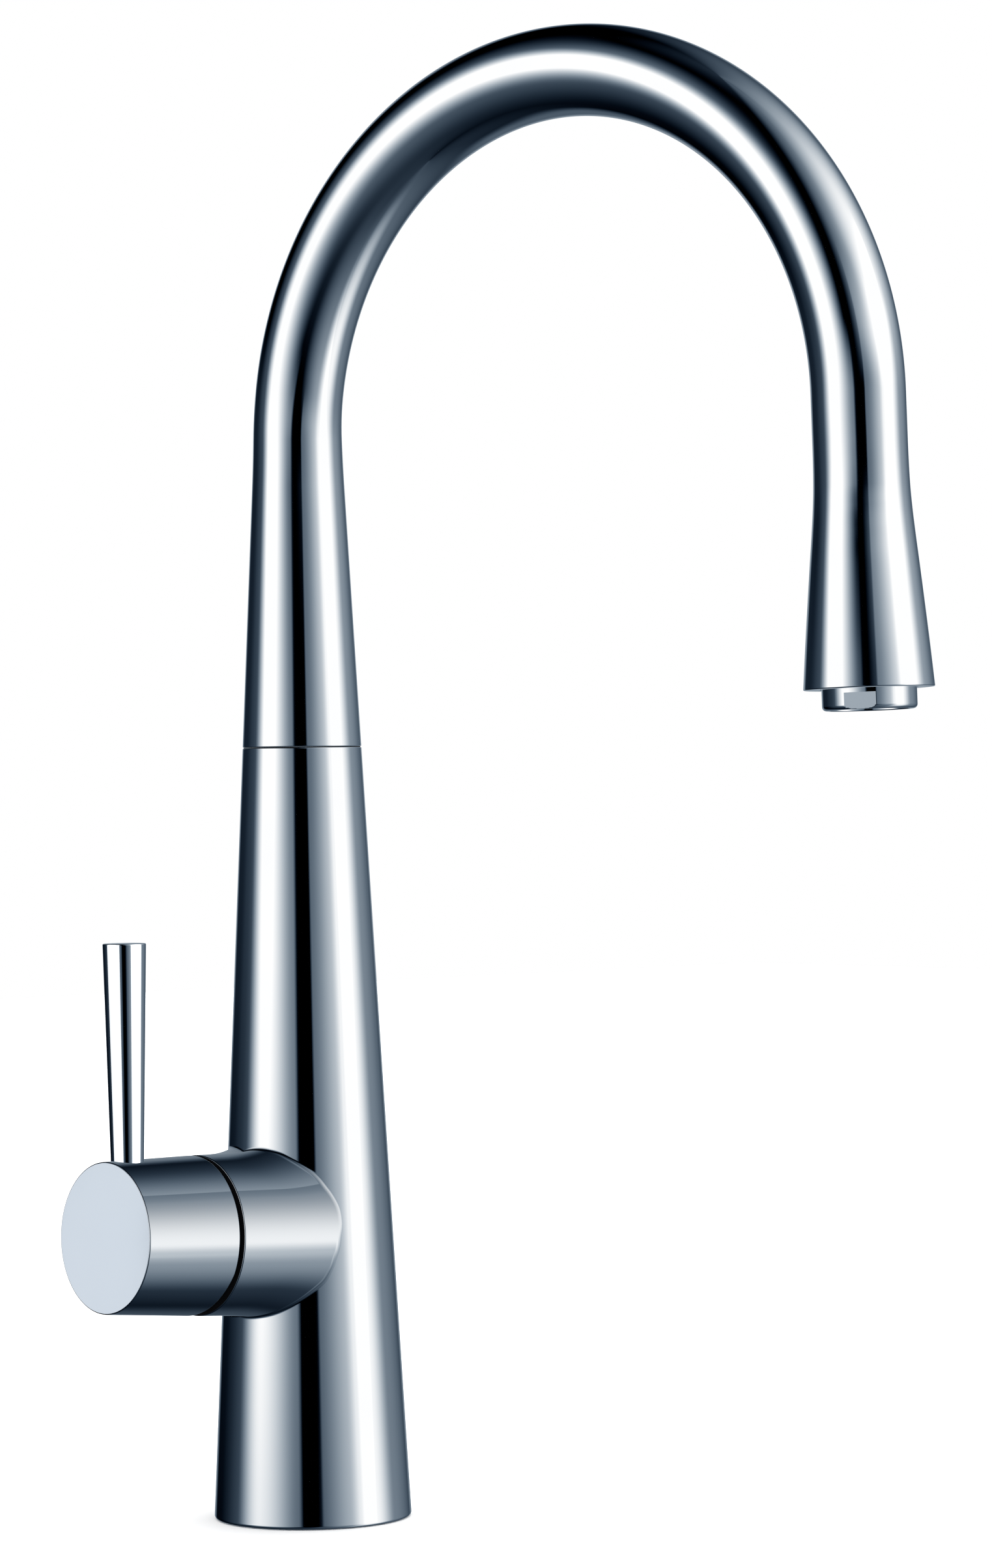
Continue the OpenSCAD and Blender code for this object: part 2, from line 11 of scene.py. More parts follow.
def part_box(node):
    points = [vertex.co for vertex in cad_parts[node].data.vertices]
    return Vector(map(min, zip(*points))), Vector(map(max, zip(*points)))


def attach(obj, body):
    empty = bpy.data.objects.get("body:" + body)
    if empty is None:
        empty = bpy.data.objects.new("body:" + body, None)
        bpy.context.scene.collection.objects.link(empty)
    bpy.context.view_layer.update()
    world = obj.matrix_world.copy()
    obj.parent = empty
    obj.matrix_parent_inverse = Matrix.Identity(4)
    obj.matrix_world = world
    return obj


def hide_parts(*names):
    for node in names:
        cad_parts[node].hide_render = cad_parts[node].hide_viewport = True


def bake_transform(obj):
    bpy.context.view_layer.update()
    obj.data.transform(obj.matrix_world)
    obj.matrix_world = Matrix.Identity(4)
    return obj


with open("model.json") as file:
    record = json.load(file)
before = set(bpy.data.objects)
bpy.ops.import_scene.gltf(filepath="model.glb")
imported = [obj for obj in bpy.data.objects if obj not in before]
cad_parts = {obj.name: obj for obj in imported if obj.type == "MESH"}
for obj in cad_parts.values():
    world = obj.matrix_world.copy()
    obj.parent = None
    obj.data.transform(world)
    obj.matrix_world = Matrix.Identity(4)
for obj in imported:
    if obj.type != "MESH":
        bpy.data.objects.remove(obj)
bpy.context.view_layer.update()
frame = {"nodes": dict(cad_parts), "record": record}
MM = 0.001

# ---------------------------------------------------------------- camera
CAMERA_AT = Vector((-0.9118, -1.1630, 0.2188))
CAMERA_AZIMUTH = math.radians(49.676)
CAMERA_PITCH = -0.0016
CAMERA_ROLL = -0.0145
CAMERA_LENS = 114.15
SENSOR_WIDTH = 36


def make_camera():
    flat = Vector((math.cos(CAMERA_AZIMUTH), math.sin(CAMERA_AZIMUTH), 0))
    side = Vector((flat.y, -flat.x, 0))
    up = Vector((0, 0, 1))
    forward = flat * math.cos(CAMERA_PITCH) + up * math.sin(CAMERA_PITCH)
    over = up * math.cos(CAMERA_PITCH) - flat * math.sin(CAMERA_PITCH)
    right = side * math.cos(CAMERA_ROLL) + over * math.sin(CAMERA_ROLL)
    top = over * math.cos(CAMERA_ROLL) - side * math.sin(CAMERA_ROLL)
    data = bpy.data.cameras.new("camera")
    data.lens = CAMERA_LENS
    data.sensor_width = SENSOR_WIDTH
    data.clip_start = 0.05
    data.clip_end = 50
    obj = bpy.data.objects.new("camera", data)
    turn = Matrix((right, top, -forward)).transposed().to_4x4()
    obj.matrix_world = Matrix.Translation(CAMERA_AT) @ turn
    bpy.context.scene.collection.objects.link(obj)
    bpy.context.scene.camera = obj


make_camera()

# ---------------------------------------------------------------- sizes, in millimetres
low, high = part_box("base_body")
BASE_R = high.y / MM
SEAM_H = high.z / MM
TUBE_R = 13.0
SPRING_H = 319.0
REACH = 200.0
LEAN = math.radians(1.55)
TURN = math.radians(11.66)
LEG_LEN = 80.6
SEAM_GAP = 0.3
HANDLE_H = 84.2
HANDLE_TILT = math.radians(2.6)
BOSS_FACE = 41.75
BOSS_ROOT_R = 24.4
BARREL_R = 21.9
BARREL_S = BOSS_FACE + 1.75
BARREL_END = BARREL_S + 31.1
LIFT = math.radians(8.0)
PIVOT_S = 36.0
LEVER_S = 66.2
LEVER_EXIT = BARREL_R * math.cos(HANDLE_TILT) + (BARREL_END - LEVER_S) * math.sin(HANDLE_TILT)
LEVER_TOP = LEVER_EXIT + 62.6


def body_r(z):
    return BASE_R + (TUBE_R - BASE_R) * z / SPRING_H


def barrel_r(s):
    """Outer radius of the tapered barrel at a distance along the handle's axis."""
    return BARREL_R + (BARREL_END - s) * math.tan(HANDLE_TILT)


BOSS_SLOPE = (BOSS_ROOT_R - barrel_r(BOSS_FACE)) / BOSS_FACE


def boss_r(s):
    return BOSS_ROOT_R - BOSS_SLOPE * s


# ---------------------------------------------------------------- mesh tools
def new_mesh(name, points, faces, normals=None):
    """A smooth-shaded mesh object. Points are in millimetres; normals are one for each point."""
    mesh = bpy.data.meshes.new(name)
    mesh.from_pydata([tuple(float(c) * MM for c in p) for p in points], [], [tuple(f) for f in faces])
    mesh.validate()
    mesh.shade_smooth()
    if normals is not None:
        turn_outwards(mesh, normals)
        length = np.linalg.norm(normals, axis=1, keepdims=True)
        mesh.normals_split_custom_set_from_vertices((np.asarray(normals) / length).tolist())
    obj = bpy.data.objects.new(name, mesh)
    bpy.context.scene.collection.objects.link(obj)
    return obj


def turn_outwards(mesh, normals):
    """Turns round each face that looks against the normals given for its corners."""
    work = bmesh.new()
    work.from_mesh(mesh)
    work.faces.ensure_lookup_table()
    back = []
    for face in work.faces:
        face.normal_update()
        mean = np.sum([normals[v.index] for v in face.verts], axis=0)
        if np.dot(mean, face.normal) < 0:
            back.append(face)
    bmesh.ops.reverse_faces(work, faces=back)
    work.to_mesh(mesh)
    work.free()
    mesh.shade_smooth()


def grid_faces(rows, columns, closed=True, start=0):
    """Faces between rows of points that run around; closed joins the last column to the first."""
    faces = []
    last = columns if closed else columns - 1
    for i in range(rows - 1):
        for j in range(last):
            k = (j + 1) % columns
            faces.append((start + i * columns + j, start + i * columns + k,
                          start + (i + 1) * columns + k, start + (i + 1) * columns + j))
    return faces


def profile(corners, steps=5):
    """A 2-D line through corners (a, b, round radius), with its arcs and the normal at each point.
    The normal is on the right-hand side of the way along the line."""
    points, normals = [], []
    count = len(corners)
    ways = []
    for i in range(count - 1):
        d = np.subtract(corners[i + 1][:2], corners[i][:2]).astype(float)
        ways.append(d / np.linalg.norm(d))
    right = [np.array((w[1], -w[0])) for w in ways]
    for i, (a, b, radius) in enumerate(corners):
        here = np.array((a, b), float)
        if i == 0 or i == count - 1:
            points.append(here)
            normals.append(right[0] if i == 0 else right[-1])
            continue
        w0, w1, n0, n1 = ways[i - 1], ways[i], right[i - 1], right[i]
        turn = math.atan2(w0[0] * w1[1] - w0[1] * w1[0], float(np.dot(w0, w1)))
        if radius <= 0 or abs(turn) < 1e-6:
            points += [here, here]
            normals += [n0, n1]
            continue
        back = radius * math.tan(abs(turn) / 2)
        start = here - w0 * back
        # the arc's centre lies on the side that the line turns to
        centre = start - n0 * radius * (1 if turn > 0 else -1)
        for k in range(steps + 1):
            angle = turn * k / steps
            c, s = math.cos(angle), math.sin(angle)
            n = np.array((n0[0] * c - n0[1] * s, n0[0] * s + n0[1] * c))
            points.append(centre + n * radius * (1 if turn > 0 else -1))
            normals.append(n)
    return np.array(points), np.array(normals)


def full_turn(around):
    """Evenly spaced angles all the way round, in radians."""
    return np.linspace(0, 2 * math.pi, around, endpoint=False)


def ring_at(radius, height, turn):
    """Points round +Z at the angles in turn."""
    return np.stack([radius * np.cos(turn), radius * np.sin(turn), np.full(turn.shape, float(height))], -1)


def spun(line, turn):
    """Rows of points, one row round +Z for each (radius, height) of the line."""
    across, up = line[:, 0], line[:, 1]
    return np.stack([np.outer(across, np.cos(turn)), np.outer(across, np.sin(turn)),
                     np.outer(up, np.ones(len(turn)))], -1)


def lathe(name, corners, place, around):
    """Turns a profile of (radius, height, round radius) corners around +Z, then moves it by place."""
    line, line_normals = profile(corners)
    turn = full_turn(around)
    points, normals = spun(line, turn), spun(line_normals, turn)
    faces = grid_faces(len(line), around)
    points, normals = moved(points.reshape(-1, 3), normals.reshape(-1, 3), place)
    return new_mesh(name, points, clean(points, faces), normals)


def moved(points, normals, place):
    """Points and normals turned by the 3x3 part of place and shifted by its last column."""
    turn = np.array(place.to_3x3())
    shift = np.array(place.translation)
    return points @ turn.T + shift, normals @ turn.T


def clean(points, faces):
    """Leaves out the corners of a face that fall together, and the faces with no area."""
    kept = []
    for face in faces:
        ring = []
        for i in face:
            if not ring or np.linalg.norm(points[i] - points[ring[-1]]) > 1e-5:
                ring.append(i)
        if len(ring) > 2 and np.linalg.norm(points[ring[0]] - points[ring[-1]]) <= 1e-5:
            ring.pop()
        if len(ring) > 2:
            kept.append(tuple(ring))
    return kept


VALVE_AXIS = Vector((-math.cos(HANDLE_TILT), 0, math.sin(HANDLE_TILT)))
# local +Z runs outwards along the handle's axis and +X runs up
ON_HANDLE = Matrix.Translation((0, 0, HANDLE_H)) @ Matrix.Rotation(HANDLE_TILT - math.pi / 2, 4, "Y")
IN_SPOUT = Matrix.Rotation(TURN, 4, "Z")
AT_MOUTH = (
    IN_SPOUT
    @ Matrix.Translation((0, -REACH / 2 * (1 + math.cos(LEAN)), SPRING_H + REACH / 2 * math.sin(LEAN)))
    @ Matrix.Rotation(-LEAN, 4, "X")
    @ Matrix.Translation((0, 0, -LEG_LEN))
)


def smooth_line(knots, x):
    """A smooth line through the knots, with no overshoot."""
    a, b = knots[:, 0], knots[:, 1]
    step = np.diff(b) / np.diff(a)
    slope = np.zeros(len(a))
    for i in range(1, len(a) - 1):
        if step[i - 1] * step[i] > 0:
            slope[i] = 2 / (1 / step[i - 1] + 1 / step[i])
    slope[0], slope[-1] = step[0], step[-1]
    i = np.clip(np.searchsorted(a, x, side="right") - 1, 0, len(a) - 2)
    h = a[i + 1] - a[i]
    t = (x - a[i]) / h
    return ((2 * t ** 3 - 3 * t ** 2 + 1) * b[i] + (t ** 3 - 2 * t ** 2 + t) * h * slope[i]
            + (-2 * t ** 3 + 3 * t ** 2) * b[i + 1] + (t ** 3 - t ** 2) * h * slope[i + 1])


# ---------------------------------------------------------------- fixed body
def cone_normals(angle):
    tilt = math.atan2(BASE_R - TUBE_R, SPRING_H)
    up = np.full(np.shape(angle), math.sin(tilt))
    return np.stack([np.cos(angle) * math.cos(tilt), np.sin(angle) * math.cos(tilt), up], -1)


# distance of the corner line from the boss's axis, by the direction round the boss in degrees
CORNER = np.array([
    (0, 24.0), (9, 25.1), (20, 26.3), (30, 26.9), (45, 26.95), (58, 25.9), (68, 25.0), (79, 24.15),
    (90, 23.75), (102, 24.1), (112, 24.9), (121, 25.7), (133, 25.85), (148, 25.55), (162, 24.7),
    (180, 23.65)])
# how far the boss flares out from the corner line, and the size of the round in the corner
FLARE_LEN = 14.0
CREASE = 0.9


def body_shell():
    points, normals, faces = [], [], []

    def add(p, n):
        start = len(points)
        points.extend(np.asarray(p).reshape(-1, 3))
        normals.extend(np.asarray(n).reshape(-1, 3))
        return start

    # the window in the cone that holds the boss, in angle from -X and height
    half, below, above = math.radians(86), HANDLE_H - 33, HANDLE_H + 35
    inside = np.linspace(-half, half, 121)
    outside = np.linspace(half, 2 * math.pi - half, 121)[1:-1]
    rows = np.linspace(below, above, 61)
    angles = np.concatenate([inside, outside]) + math.pi

    def stack(line, line_normals):
        start = add(spun(line, angles), spun(line_normals, angles))
        faces.extend(grid_faces(len(line), len(angles), True, start))

    # under the window: over the foot and its gasket groove, up to the window
    stack(*profile([
        (15.35, 14, 0), (17, 14, 0), (17, 0, 0.4), (20, 0, 0.2), (20, 2.5, 0), (25, 2.5, 0), (25, 0, 0.2),
        (body_r(0), 0, 0.9), (body_r(below), below, 0)]))
    # over the window: up to the seam, and down inside it
    stack(*profile([
        (body_r(above), above, 0), (body_r(SEAM_H), SEAM_H, 0.25), (15.8, SEAM_H, 0.2), (15.8, SEAM_H - 2, 0),
        (14.6, SEAM_H - 2, 0), (14.6, 191.5, 0), (7, 191.5, 0), (7, 14, 0)]))
    # beside the window
    back = np.concatenate([[half], outside, [2 * math.pi - half]]) + math.pi
    zz, aa = np.meshgrid(rows, back, indexing="ij")
    rr = body_r(zz)
    start = add(np.stack([rr * np.cos(aa), rr * np.sin(aa), zz], -1), cone_normals(aa))
    faces.extend(grid_faces(len(rows), len(back), False, start))
    # the window's frame, anticlockwise as seen from outside, starting at its lower left corner
    frame_line = [(a, below) for a in inside[:-1]] + [(half, z) for z in rows[:-1]]
    frame_line += [(a, above) for a in inside[:0:-1]] + [(-half, z) for z in rows[:0:-1]]
    frame_line = np.array(frame_line)
    n = len(frame_line)
    # direction of each frame point round the boss, 0 at the top, towards +Y
    way = np.arctan2(-frame_line[:, 0] * body_r(HANDLE_H), frame_line[:, 1] - HANDLE_H - 1)
    corner_r = smooth_line(CORNER, np.abs(np.degrees(way)))
    axis = np.array((-math.cos(HANDLE_TILT), 0, math.sin(HANDLE_TILT)))
    over = np.array((math.sin(HANDLE_TILT), 0, math.cos(HANDLE_TILT)))
    out = np.cos(way)[:, None] * over + np.sin(way)[:, None] * np.array((0, 1.0, 0))

    def boss_at(s, r):
        return np.array((0, 0, HANDLE_H)) + s[:, None] * axis + r[:, None] * out

    near, far = np.zeros(n), np.full(n, 60.0)
    for _ in range(40):
        middle = (near + far) / 2
        here = boss_at(middle, corner_r)
        clear = np.hypot(here[:, 0], here[:, 1]) > body_r(here[:, 2])
        far = np.where(clear, middle, far)
        near = np.where(clear, near, middle)
    foot = (near + far) / 2
    corner = boss_at(foot, corner_r)
    corner_flat = np.stack([np.arctan2(-corner[:, 1], -corner[:, 0]), corner[:, 2]], -1)
    # the corner line's outer side, a little way along the body towards the window's frame
    away = frame_line - corner_flat
    size = np.hypot(away[:, 0] * body_r(HANDLE_H), away[:, 1])
    hole = corner_flat + away * (CREASE / size)[:, None]
    rings = 16
    share = np.linspace(0, 1, rings)[:, None, None]
    flat = frame_line[None] * (1 - share) + hole[None] * share
    angle = flat[..., 0] + math.pi
    radius = body_r(flat[..., 1])
    skirt = np.stack([radius * np.cos(angle), radius * np.sin(angle), flat[..., 1]], -1)
    start = add(skirt, cone_normals(angle))
    faces.extend(grid_faces(rings, n, True, start))
    # the flared stretch of the boss
    flare_shares = np.concatenate([[CREASE / FLARE_LEN * 0.9], np.linspace(0.12, 1, 12)])
    rows_s = [foot + FLARE_LEN * t for t in flare_shares]
    extra = corner_r - boss_r(foot)
    flared = np.array([
        boss_at(s, boss_r(s) + extra * (1 - (s - foot) / FLARE_LEN) ** 2) for s in rows_s])
    # its normals stay those of the plain cone, so that reflections run straight up to the corner
    slope = math.atan(BOSS_SLOPE)
    flared_n = np.broadcast_to(math.cos(slope) * out + math.sin(slope) * axis, flared.shape)
    # the small round in the corner
    inner_n, outer_n = flared_n[0], cone_normals(hole[:, 0] + math.pi)
    steps = 7
    arc, arc_n = [], []
    for k in range(steps + 1):
        t = k / steps
        arc.append((1 - t) ** 2 * skirt[-1] + 2 * t * (1 - t) * corner + t * t * flared[0])
        arc_n.append((1 - t) * outer_n + t * inner_n)
    boss_start = add(np.array(arc), np.array(arc_n))
    faces.extend(grid_faces(steps + 1, n, True, boss_start))
    start = add(flared, flared_n)
    faces.extend(grid_faces(len(flared), n, True, start))
    # the boss from the blend to its face, and its bore
    boss, boss_n = profile([
        (boss_r(40), 40, 0), (boss_r(BOSS_FACE), BOSS_FACE, 0.35), (19.5, BOSS_FACE, 0.3), (19.5, 33, 0),
        (17.6, 33, 0), (17.6, 15, 0), (0.01, 15, 0)])
    start_s = np.minimum(foot + FLARE_LEN, 40.5)
    p, q = [], []
    for i, (point, normal) in enumerate(zip(boss, boss_n)):
        s = np.full(n, point[1]) if i else start_s
        r = np.full(n, point[0]) if i else boss_r(start_s)
        p.append(np.array((0, 0, HANDLE_H)) + s[:, None] * axis + r[:, None] * out)
        q.append(normal[0] * out + normal[1] * axis)
    faces.extend(grid_faces(len(boss), n, True, add(p, q)))
    points, normals = np.array(points), np.array(normals)
    return new_mesh("body_shell", points, clean(points, faces), normals), boss_start


body, BOSS_START = body_shell()
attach(body, "base")
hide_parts("base_body")


# ---------------------------------------------------------------- spout
def flare_r(up):
    """Outer radius of the leg at a height above the mouth: a long cone that runs softly into the tube."""
    knots = np.array([(0, 17.95), (12, 16.95), (24, 15.87), (34, 14.93), (42, 14.15), (49, 13.55),
                      (55, 13.2), (61, 13.05), (67, 13.0), (90, 13.0)])
    return smooth_line(knots, up)


def spout_path(stations):
    """Centre, direction and both side directions of the spout's line, at distances from the deck."""
    arch_r = REACH / 2
    arch_len = arch_r * (math.pi - LEAN)
    centre, way = [], []
    for d in stations:
        if d <= SPRING_H:
            centre.append((0, 0, d))
            way.append((0, 0, 1))
        elif d <= SPRING_H + arch_len:
            a = (d - SPRING_H) / arch_r
            centre.append((0, -arch_r + arch_r * math.cos(a), SPRING_H + arch_r * math.sin(a)))
            way.append((0, -math.sin(a), math.cos(a)))
        else:
            a = math.pi - LEAN
            rest = d - SPRING_H - arch_len
            centre.append((0, -arch_r + arch_r * math.cos(a) - rest * math.sin(a),
                           SPRING_H + arch_r * math.sin(a) + rest * math.cos(a)))
            way.append((0, -math.sin(a), math.cos(a)))
    centre, way = np.array(centre), np.array(way)
    side = np.tile((1.0, 0, 0), (len(centre), 1))
    out = np.cross(way, side)
    return centre, way, side, out


def spout_shell():
    around = 160
    arch_len = REACH / 2 * (math.pi - LEAN)
    total = SPRING_H + arch_len + LEG_LEN
    foot = SEAM_H + SEAM_GAP
    blend = 14.0

    def radius(d):
        if d < SPRING_H - blend:
            return body_r(d)
        if d < SPRING_H + blend:
            # a parabola that leaves the taper and reaches the tube smoothly
            t = (SPRING_H + blend - d) / (2 * blend)
            return TUBE_R + (body_r(SPRING_H - blend) - TUBE_R) * t * t
        return float(flare_r(np.array(total - d)))

    stations = np.concatenate([
        np.linspace(foot + 0.25, SPRING_H - blend, 10)[:-1],
        np.linspace(SPRING_H - blend, SPRING_H + blend, 13)[:-1],
        np.linspace(SPRING_H + blend, SPRING_H + arch_len, 150)[:-1],
        np.linspace(SPRING_H + arch_len, total - 0.35, 60)])
    radii = np.array([radius(d) for d in stations])
    eps = 0.05
    slopes = np.array([(radius(d + eps) - radius(d - eps)) / (2 * eps) for d in stations])
    centre, way, side, out = spout_path(stations)
    turn = full_turn(around)
    ring = side[:, None] * np.cos(turn)[None, :, None] + out[:, None] * np.sin(turn)[None, :, None]
    points = [centre[:, None] + ring * radii[:, None, None]]
    normals = [ring - way[:, None] * slopes[:, None, None]]

    def end(line, line_normals, at, sign):
        """Rows of (radius, distance past the end) around the path's end, as seen from it."""
        c, w, s, o = (v[0] for v in spout_path([at]))
        rings = s * np.cos(turn)[:, None] + o * np.sin(turn)[:, None]
        p = c + rings[None] * line[:, 0, None, None] + w * sign * line[:, 1, None, None]
        q = rings[None] * line_normals[:, 0, None, None] + w * sign * line_normals[:, 1, None, None]
        return p, q

    # the mouth's rim, and the dock inside it up to the sleeve
    rim, rim_n = profile([
        (radius(total - 0.35), -0.35, 0), (radius(total), 0, 0.3), (13.4, 0, 0.25), (13.4, -34, 0),
        (11.5, -35, 0), (11.5, -78, 0)])
    p, q = end(rim, rim_n, total, 1)
    points.append(p)
    normals.append(q)
    # the foot's rim and the bore above it, drawn downwards
    low_rim, low_rim_n = profile([
        (11.5, -88, 0), (13.5, -20, 0), (14, -17.7, 0), (14, 0, 0.2), (radius(foot), 0, 0.25),
        (radius(foot + 0.25), -0.25, 0)])
    p, q = end(low_rim, low_rim_n, foot, -1)
    points.insert(0, p)
    normals.insert(0, q)
    points, normals = np.concatenate(points), np.concatenate(normals)
    rows = len(points)
    faces = grid_faces(rows, around)
    points, normals = points.reshape(-1, 3), normals.reshape(-1, 3)
    points, normals = moved(points, normals, IN_SPOUT)
    return new_mesh("spout_shell", points, clean(points, faces), normals)


spout = spout_shell()
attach(spout, "spout")
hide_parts("spout_tube")


# ---------------------------------------------------------------- handle
def barrel_shell():
    """The barrel: a tapered cup whose rim is cut back below so that it can tilt."""
    around = 192
    turn = full_turn(around)
    up = np.cos(turn)

    def rim(radius):
        relief = PIVOT_S + (BOSS_FACE + 0.3 - PIVOT_S - radius * up * math.sin(LIFT)) / math.cos(LIFT)
        return np.maximum(BARREL_S, relief)

    inner = BARREL_R - 2.7
    edge, end = 0.3, 0.35
    rows, row_normals = [], []

    def add(radius, s, nr, ns):
        radius = np.broadcast_to(radius, turn.shape)
        s = np.broadcast_to(s, turn.shape)
        rows.append(np.stack([radius * np.cos(turn), radius * np.sin(turn), s], -1))
        row_normals.append(np.stack([nr * np.cos(turn), nr * np.sin(turn), np.full(turn.shape, ns)], -1))

    add(0.01, BARREL_END - 3, 0, -1)
    add(inner, BARREL_END - 3, 0, -1)
    add(inner, BARREL_END - 3, -1, 0)
    for k in range(6):
        a = math.pi / 2 * k / 5
        add(inner + edge - edge * math.cos(a), rim(inner) + edge - edge * math.sin(a),
            -math.cos(a), -math.sin(a))
    start = rim(barrel_r(BARREL_S)) + edge
    for k in range(8):
        a = (math.pi / 2 + HANDLE_TILT) * k / 7
        add(barrel_r(start) - edge / math.cos(HANDLE_TILT) + edge * math.sin(a), start - edge * math.cos(a),
            math.sin(a), -math.cos(a))
    for k in range(9):
        a = HANDLE_TILT + (math.pi / 2 - HANDLE_TILT) * k / 8
        add(barrel_r(BARREL_END - end) - end / math.cos(HANDLE_TILT) + end * math.cos(a),
            BARREL_END - end + end * math.sin(a), math.cos(a), math.sin(a))
    add(0.01, BARREL_END, 0, 1)
    points, normals = np.array(rows).reshape(-1, 3), np.array(row_normals).reshape(-1, 3)
    points, normals = moved(points, normals, ON_HANDLE)
    faces = grid_faces(len(rows), around)
    return new_mesh("barrel_shell", points, clean(points, faces), normals)


barrel = barrel_shell()
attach(barrel, "handle")
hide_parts("handle_barrel")

LEVER_PLACE = (
    ON_HANDLE @ Matrix.Translation((0, 0, LEVER_S)) @ Matrix.Rotation(math.pi / 2 - HANDLE_TILT, 4, "Y"))
LEVER_LOW_R = 4.75
LEVER_TOP_R = 6.3
# how far inside the barrel's wall the lever's taper starts
LEVER_SUNK = 1.9


def lever_r(up):
    share = (up - LEVER_EXIT + LEVER_SUNK) / (LEVER_TOP - LEVER_EXIT + LEVER_SUNK)
    return LEVER_LOW_R + (LEVER_TOP_R - LEVER_LOW_R) * share


lever = lathe("lever_rod", [
    (0.01, 10, 0), (3, 10, 0.3), (3, 20, 0), (lever_r(20), 20, 0), (lever_r(LEVER_TOP), LEVER_TOP, 0.35),
    (0.01, LEVER_TOP, 0)], LEVER_PLACE, 96)
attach(lever, "handle")
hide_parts("lever_pin")


# ---------------------------------------------------------------- collar of the pull-down head
def collar_shell():
    collar_r, drop, edge = 13.0, 5.8, 1.2
    flat_half, flat_top = 4.5, -1.2
    near = math.sqrt(collar_r ** 2 - flat_half ** 2)
    half = math.asin(flat_half / collar_r)
    first = math.radians(21)
    turn = full_turn(192)
    corner = [first + side * half + more for more in (0, math.pi) for side in (-1, 1)]
    corner = np.array(corner) % (2 * math.pi)
    turn = np.unique(np.concatenate([turn, corner]))
    around = len(turn)
    off = np.abs((turn - first + math.pi / 2) % math.pi - math.pi / 2)
    flat = off < half + 1e-9
    limit = np.where(flat, near / np.cos(np.minimum(off, half)), 99.0)
    facing = np.where((turn - first + math.pi / 2) % (2 * math.pi) < math.pi, first, first + math.pi)
    rows, row_normals = [], []

    def add(radius, z, nr, nz, cut):
        r = np.full(around, float(radius))
        n = np.stack([nr * np.cos(turn), nr * np.sin(turn), np.full(around, float(nz))], -1)
        if cut:
            hit = flat & (limit < radius + 1e-9)
            r = np.where(hit, limit, r)
            wall = np.stack([np.cos(facing), np.sin(facing), np.zeros(around)], -1)
            inner = flat & (off < half - 1e-6) & hit & (nr > 0.2)
            n = np.where(inner[:, None], wall, n)
        rows.append(ring_at(r, z, turn))
        row_normals.append(n)

    add(9.8, 9, 1, 0, False)
    add(9.8, 2, 1, 0, False)
    add(9.8, 2, 0, 1, False)
    add(collar_r - 0.3, 2, 0, 1, False)
    for k in range(1, 4):
        a = math.pi / 2 * (1 - k / 3)
        add(collar_r - 0.3 + 0.3 * math.cos(a), 1.7 + 0.3 * math.sin(a), math.cos(a), math.sin(a), False)
    add(collar_r, flat_top, 1, 0, False)
    add(collar_r, flat_top, 0, -1, False)
    add(collar_r, flat_top, 0, -1, True)
    add(collar_r, flat_top, 1, 0, True)
    for k in range(9):
        a = math.pi / 2 * k / 8
        add(collar_r - edge + edge * math.cos(a), edge - drop - edge * math.sin(a),
            math.cos(a), -math.sin(a), True)
    for k in range(1, 4):
        a = math.pi / 2 * k / 3
        add(10.9 + 0.3 - 0.3 * math.sin(a), -drop + 0.3 - 0.3 * math.cos(a),
            -math.sin(a), -math.cos(a), False)
    add(10.9, 1, -1, 0, False)
    add(10.9, 1, 0, -1, False)
    add(8, 1, 0, -1, False)
    add(8, 1, -1, 0, False)
    add(8, 9, -1, 0, False)
    add(8, 9, 0, 1, False)
    add(9.8, 9, 0, 1, False)
    points, normals = np.array(rows).reshape(-1, 3), np.array(row_normals).reshape(-1, 3)
    points, normals = moved(points, normals, AT_MOUTH)
    faces = [f[::-1] for f in grid_faces(len(rows), around)]
    return new_mesh("collar_shell", points, clean(points, faces), normals)


collar = collar_shell()
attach(collar, "handset")
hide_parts("aerator_housing")

# ---------------------------------------------------------------- head, hose and hose fittings
def tube_ends(rows, around):
    """The two faces that close a tube made of rows of points."""
    last = (rows - 1) * around
    return [tuple(range(around))[::-1], tuple(range(last, last + around))]


def swept_tube(name, place, rows, around, radius):
    """A closed tube about local +Z. radius(turn, height) gives the surface at each point."""
    turn = full_turn(around)
    height, angle = np.meshgrid(rows, turn, indexing="ij")
    r = radius(angle, height)
    points = np.stack([r * np.cos(angle), r * np.sin(angle), height], -1).reshape(-1, 3)
    faces = grid_faces(len(rows), around) + tube_ends(len(rows), around)
    points, _ = moved(points, points, place)
    return new_mesh(name, points, faces)


def braid(pitch, starts, depth, base):
    """Radius of a braided cover: two sets of strands that wind opposite ways, over and under each other."""
    def radius(angle, height):
        a = starts * angle + 2 * math.pi * height / pitch
        b = starts * angle - 2 * math.pi * height / pitch
        over = np.cos((a + b) / 2) * np.cos((a - b) / 2)
        return base - depth + depth * np.maximum(np.abs(np.sin(a / 2)) * (0.6 + 0.4 * over),
                                                 np.abs(np.sin(b / 2)) * (0.6 - 0.4 * over))
    return radius


handset = lathe("handset_tube", [
    (9.8, 9, 0), (9.8, 2, 0.2), (11, 2, 0.3), (11, 8, 0.1), (10.7, 8.2, 0.1), (10.7, 9, 0.1), (11, 9.2, 0.1),
    (11, 39.6, 0.1), (10.7, 39.8, 0.1), (10.7, 40.6, 0.1), (11, 40.8, 0.1), (11, 43, 0.4), (10, 44, 0.4),
    (5.5, 44, 0), (5.5, 38, 0), (8, 38, 0), (8, 9, 0), (9.8, 9, 0)], AT_MOUTH, 128)
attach(handset, "handset")
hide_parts("handset_shell")

